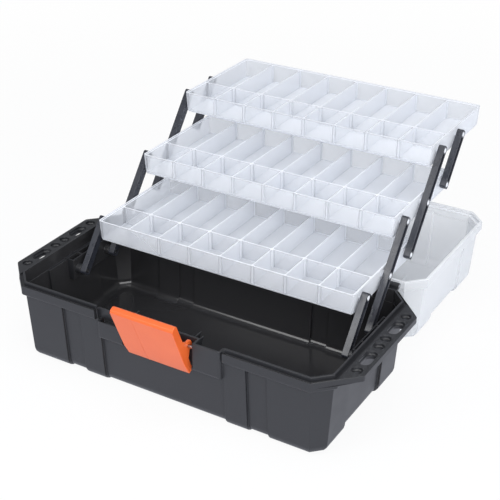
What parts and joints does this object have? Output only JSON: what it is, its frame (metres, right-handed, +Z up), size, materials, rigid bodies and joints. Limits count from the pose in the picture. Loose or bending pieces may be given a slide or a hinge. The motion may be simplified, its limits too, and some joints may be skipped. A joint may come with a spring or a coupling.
{
  "type": "cantilever tool box",
  "caption": "Tool box with moulded tub, hinged lid, front latch, folding handle and divided trays that rise and fold on parallel arms; shown open.",
  "frame": {"origin": "centre of the tub's flat underside, on the ground plane", "axes": "+X to the right along the box, seen from the latch side; +Y to the back, from the latch towards the hinge; +Z up"},
  "size_m": [0.445, 0.487, 0.228],
  "materials": {
    "black_plastic": "satin moulded polypropylene",
    "arm_plastic": "smooth moulded nylon",
    "clear_plastic": "translucent natural polypropylene",
    "lid_plastic": "translucent natural polypropylene",
    "orange_plastic": "glossy moulded polypropylene",
    "steel": "drawn wire"
  },
  "bodies": {
    "tub": {"base_tub": "black_plastic", "latch_pin": "steel", "hinge_pin_right": "steel", "hinge_pin_left": "steel"},
    "lower_long_arms": {"lower_long_arm_right": "arm_plastic", "lower_long_arm_left": "arm_plastic"},
    "lower_short_arms": {"lower_short_arm_right": "arm_plastic", "lower_short_arm_left": "arm_plastic"},
    "tray_1": {"lower_tray": "clear_plastic"},
    "tray_2": {"middle_tray": "clear_plastic"},
    "upper_long_arms": {"upper_long_arm_right": "arm_plastic", "upper_long_arm_left": "arm_plastic"},
    "upper_short_arms": {"upper_short_arm_right": "arm_plastic", "upper_short_arm_left": "arm_plastic"},
    "tray_3": {"upper_tray": "clear_plastic"},
    "lid": {"lid_shell": "lid_plastic", "handle_pin_right": "steel", "handle_pin_left": "steel"},
    "latch_plate": {"latch": "orange_plastic"},
    "handle": {"carry_handle": "black_plastic"}
  },
  "joints": [
    {"name": "tray_fold", "type": "hinge", "parent": "tub", "child": "lower_long_arms", "pos_m": [0, 0.0523, 0.0717], "axis": [1, 0, 0], "range_deg": [0, 103.4]},
    {"name": "tray_1_level", "type": "hinge", "parent": "lower_long_arms", "child": "tray_1", "pos_m": [0, 0.09152, 0.121], "axis": [1, 0, 0], "range_deg": [-103.4, 0]},
    {"name": "tray_2_level", "type": "hinge", "parent": "lower_long_arms", "child": "tray_2", "pos_m": [0, 0.13074, 0.1703], "axis": [1, 0, 0], "range_deg": [-103.4, 0]},
    {"name": "lower_short_arm_swing", "type": "hinge", "parent": "tub", "child": "lower_short_arms", "pos_m": [0, -0.0026, 0.0717], "axis": [1, 0, 0], "range_deg": [0, 103.4]},
    {"name": "upper_long_arm_swing", "type": "hinge", "parent": "tray_1", "child": "upper_long_arms", "pos_m": [0, 0.14642, 0.121], "axis": [1, 0, 0], "range_deg": [0, 103.4]},
    {"name": "tray_3_level", "type": "hinge", "parent": "upper_long_arms", "child": "tray_3", "pos_m": [0, 0.22485, 0.21961], "axis": [1, 0, 0], "range_deg": [-103.4, 0]},
    {"name": "upper_short_arm_swing", "type": "hinge", "parent": "tray_2", "child": "upper_short_arms", "pos_m": [0, 0.24054, 0.1703], "axis": [1, 0, 0], "range_deg": [0, 103.4]},
    {"name": "lid_hinge", "type": "hinge", "parent": "tub", "child": "lid", "pos_m": [0, 0.111, 0.0992], "axis": [1, 0, 0], "range_deg": [0, 105.5]},
    {"name": "latch_pivot", "type": "hinge", "parent": "tub", "child": "latch_plate", "pos_m": [0, -0.1, 0.091], "axis": [1, 0, 0], "range_deg": [-22, 0]},
    {"name": "handle_pivot", "type": "hinge", "parent": "lid", "child": "handle", "pos_m": [0, 0.2035, 0.023], "axis": [1, 0, 0], "range_deg": [-90, 0]}
  ],
  "couplings": [
    {"joint": "tray_1_level", "follows": "tray_fold", "ratio": -1},
    {"joint": "tray_2_level", "follows": "tray_fold", "ratio": -1},
    {"joint": "lower_short_arm_swing", "follows": "tray_fold", "ratio": 1},
    {"joint": "upper_long_arm_swing", "follows": "tray_fold", "ratio": 1},
    {"joint": "tray_3_level", "follows": "tray_fold", "ratio": -1},
    {"joint": "upper_short_arm_swing", "follows": "tray_fold", "ratio": 1},
    {"joint": "lid_hinge", "follows": "tray_fold", "ratio": 1.02}
  ]
}
